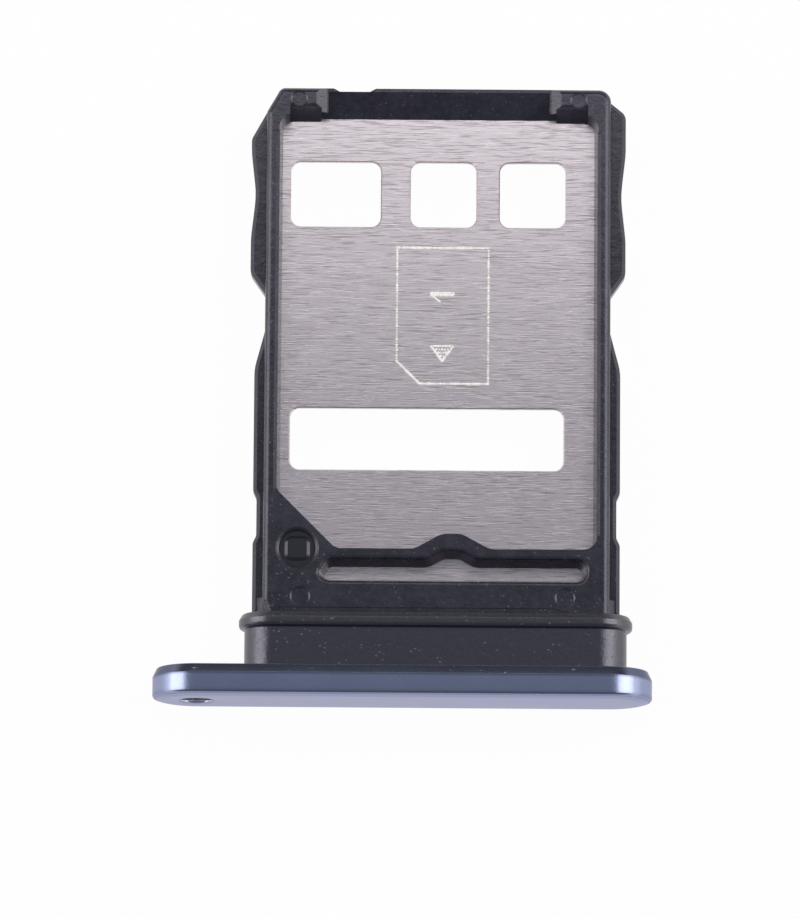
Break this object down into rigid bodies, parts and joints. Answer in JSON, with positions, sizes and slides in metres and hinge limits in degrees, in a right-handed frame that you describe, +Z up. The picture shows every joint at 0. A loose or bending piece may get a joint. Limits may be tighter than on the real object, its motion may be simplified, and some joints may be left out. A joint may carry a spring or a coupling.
{
  "type": "sim card tray",
  "caption": "Double-sided tray for small phone cards: coated metal pill cap with ejector hole, moulded black frame with spring arms, brushed divider plate and rubber seal.",
  "frame": {"origin": "middle of the bounding box in plan, at the lower side of the cap", "axes": "+Y from the cap to the far end, +X to the right seen from the upper card side, +Z up out of the upper card pocket"},
  "size_m": [0.014, 0.0176, 0.0025],
  "materials": {
    "cap_coat": "lilac-blue satin coat",
    "frame_plastic": "black, fine matt moulding",
    "plate_steel": "brushed across the tray",
    "seal_rubber": "black silicone, slightly dusty"
  },
  "bodies": {
    "root": {"front_cap": "cap_coat", "card_frame": "frame_plastic", "divider_plate": "plate_steel", "sealing_ring": "seal_rubber"}
  },
  "joints": []
}
